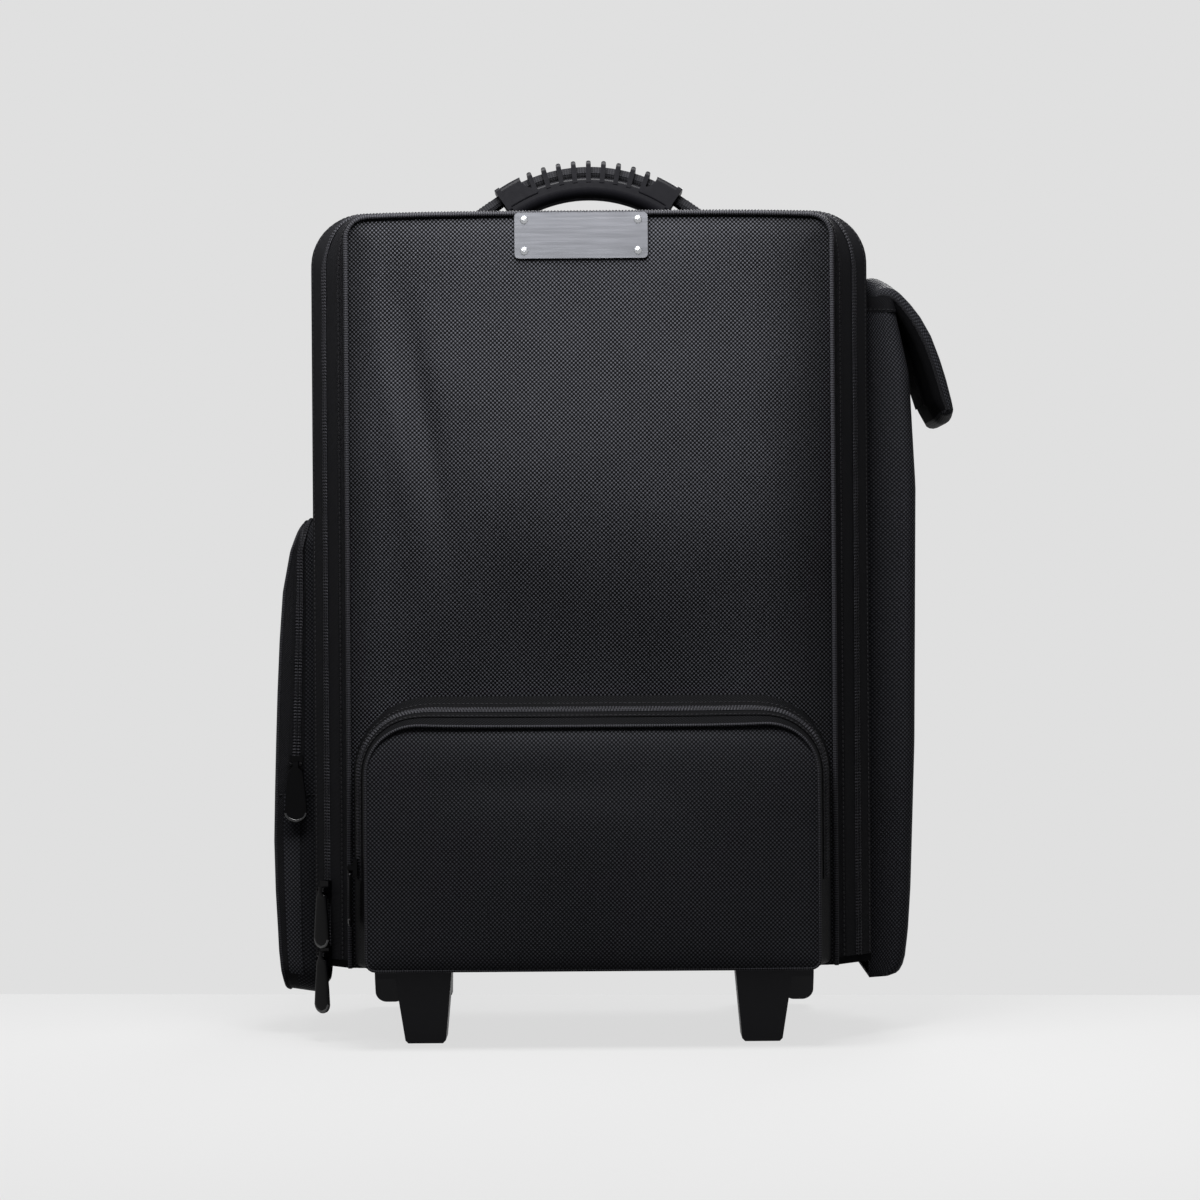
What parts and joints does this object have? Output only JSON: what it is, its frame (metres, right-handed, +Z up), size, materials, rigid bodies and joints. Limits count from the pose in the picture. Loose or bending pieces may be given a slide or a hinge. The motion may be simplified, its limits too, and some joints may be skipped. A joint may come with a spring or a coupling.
{
  "type": "rolling makeup case",
  "caption": "Soft-sided rolling makeup case with a zipped drop-down front panel, outside pockets, a ribbed carry handle, a telescopic trolley, wheels and front feet.",
  "frame": {"origin": "on the floor under the middle of the closed case's bounding box", "axes": "+Z up; the front panel faces -Y; +X to the right of someone who faces the front"},
  "size_m": [0.473, 0.277, 0.611],
  "materials": {
    "ballistic_cloth": "dark woven nylon",
    "gusset_cloth": "plain black cloth",
    "lining_board": "lined board",
    "piping": "semi-gloss cord",
    "zip_tape": "coil zip tape",
    "plate_metal": "satin",
    "rivet_metal": "polished dome",
    "grip_rubber": "satin moulded",
    "webbing": "woven strap",
    "tube_metal": "satin",
    "black_plastic": "fine grain",
    "button_plastic": "smooth",
    "tyre": "matt",
    "steel": "zinc plated",
    "zip_metal": "black enamel",
    "hook_tape": "hook and loop tape"
  },
  "bodies": {
    "case": {"body_band": "ballistic_cloth", "back_panel": "ballistic_cloth", "base_panel": "black_plastic", "back_piping": "piping", "trolley_cover": "lining_board", "zip_tape_body": "zip_tape", "left_pocket": "ballistic_cloth", "left_pocket_zip_inner": "zip_tape", "right_pocket": "ballistic_cloth", "loop_patch": "hook_tape", "handle_anchors": "webbing", "wheel_housing_left": "black_plastic", "wheel_housing_right": "black_plastic", "housing_screws": "steel", "axle_left": "steel", "axle_right": "steel", "foot_left": "black_plastic", "foot_right": "black_plastic", "foot_screws": "steel", "trolley_bezel": "black_plastic", "outer_tube_left": "tube_metal", "outer_tube_right": "tube_metal", "trolley_base": "black_plastic"},
    "front_panel": {"front_panel_face": "ballistic_cloth", "panel_gusset": "gusset_cloth", "panel_piping": "piping", "zip_tape_panel": "zip_tape", "name_plate": "plate_metal", "plate_rivets": "rivet_metal", "front_pocket": "ballistic_cloth", "front_pocket_zip_inner": "zip_tape"},
    "front_flap": {"front_pocket_flap": "ballistic_cloth", "front_pocket_zip_outer": "zip_tape"},
    "left_flap": {"left_pocket_flap": "ballistic_cloth", "left_pocket_zip_outer": "zip_tape"},
    "right_flap": {"right_flap": "ballistic_cloth", "hook_patch": "hook_tape"},
    "carry_handle": {"handle_grip": "grip_rubber", "handle_webbing": "webbing"},
    "trolley": {"inner_tube_left": "tube_metal", "inner_tube_right": "tube_metal", "trolley_grip": "grip_rubber", "tube_plugs": "black_plastic"},
    "button": {"trolley_button": "button_plastic", "release_rods": "tube_metal"},
    "pin_left": {"lock_pin_left": "steel"},
    "pin_right": {"lock_pin_right": "steel"},
    "wheel_left": {"wheel_hub_left": "black_plastic", "wheel_tyre_left": "tyre"},
    "wheel_right": {"wheel_hub_right": "black_plastic", "wheel_tyre_right": "tyre"},
    "main_slider_upper": {"main_slider_upper": "zip_metal"},
    "main_slider_lower": {"main_slider_lower": "zip_metal"},
    "front_slider": {"front_slider": "zip_metal"},
    "left_slider": {"left_slider": "zip_metal"},
    "main_puller_upper": {"main_puller_upper": "zip_metal"},
    "main_puller_lower": {"main_puller_lower": "zip_metal"},
    "front_puller": {"front_puller": "zip_metal"},
    "left_puller": {"left_puller": "zip_metal"}
  },
  "joints": [
    {"name": "front_panel_open", "type": "hinge", "parent": "case", "child": "front_panel", "pos_m": [-0.0165, -0.0965, 0.052], "axis": [1, 0, 0], "range_deg": [0, 90]},
    {"name": "front_flap_open", "type": "hinge", "parent": "front_panel", "child": "front_flap", "pos_m": [-0.0165, -0.1385, 0.112], "axis": [1, 0, 0], "range_deg": [0, 110]},
    {"name": "left_flap_open", "type": "hinge", "parent": "case", "child": "left_flap", "pos_m": [-0.2365, 0.0155, 0.18], "axis": [0, -1, 0], "range_deg": [0, 110]},
    {"name": "right_flap_lift", "type": "hinge", "parent": "case", "child": "right_flap", "pos_m": [0.174, 0.0155, 0.522], "axis": [0, -1, 0], "range_deg": [0, 90]},
    {"name": "carry_handle_swing", "type": "hinge", "parent": "case", "child": "carry_handle", "pos_m": [-0.0165, 0.0205, 0.5819], "axis": [1, 0, 0], "range_deg": [-30, 30], "stiffness_Nm_per_rad": 0.3},
    {"name": "trolley_pull", "type": "slide", "parent": "case", "child": "trolley", "axis": [0, 0, 1], "range_m": [0, 0.4]},
    {"name": "button_press", "type": "slide", "parent": "trolley", "child": "button", "axis": [0, 0, -1], "range_m": [0, 0.003], "stiffness_N_per_m": 800, "springref_m": -0.004},
    {"name": "pin_left_draw", "type": "slide", "parent": "trolley", "child": "pin_left", "axis": [1, 0, 0], "range_m": [0, 0.003]},
    {"name": "pin_right_draw", "type": "slide", "parent": "trolley", "child": "pin_right", "axis": [-1, 0, 0], "range_m": [0, 0.003]},
    {"name": "wheel_left_spin", "type": "hinge", "parent": "case", "child": "wheel_left", "pos_m": [-0.1415, 0.1155, 0.023], "axis": [1, 0, 0], "continuous": true},
    {"name": "wheel_right_spin", "type": "hinge", "parent": "case", "child": "wheel_right", "pos_m": [0.1085, 0.1155, 0.023], "axis": [1, 0, 0], "continuous": true},
    {"name": "main_slider_upper_run", "type": "slide", "parent": "front_panel", "child": "main_slider_upper", "axis": [0, 0, 1], "range_m": [0, 0.37]},
    {"name": "main_slider_lower_run", "type": "slide", "parent": "case", "child": "main_slider_lower", "axis": [0, 0, 1], "range_m": [0, 0.0015]},
    {"name": "front_slider_run", "type": "slide", "parent": "front_panel", "child": "front_slider", "axis": [0, 0, 1], "range_m": [0, 0.06]},
    {"name": "left_slider_run", "type": "slide", "parent": "case", "child": "left_slider", "axis": [0.0278, 0, 0.9996], "range_m": [0, 0.11]},
    {"name": "main_puller_upper_lift", "type": "hinge", "parent": "main_slider_upper", "child": "main_puller_upper", "pos_m": [-0.20135, -0.08331, 0.104], "axis": [-0.6794, 0.7338, 0], "range_deg": [0, 140]},
    {"name": "main_puller_lower_lift", "type": "hinge", "parent": "main_slider_lower", "child": "main_puller_lower", "pos_m": [-0.20135, -0.08331, 0.06], "axis": [-0.6794, 0.7338, 0], "range_deg": [0, 140]},
    {"name": "front_puller_lift", "type": "hinge", "parent": "front_slider", "child": "front_puller", "pos_m": [-0.17928, -0.1195, 0.122], "axis": [0, 1, 0], "range_deg": [0, 140]},
    {"name": "left_puller_lift", "type": "hinge", "parent": "left_slider", "child": "left_puller", "pos_m": [-0.22128, -0.0512, 0.188], "axis": [-1, 0, 0], "range_deg": [0, 140]}
  ],
  "couplings": [
    {"joint": "pin_left_draw", "follows": "button_press", "ratio": 1},
    {"joint": "pin_right_draw", "follows": "button_press", "ratio": 1}
  ]
}
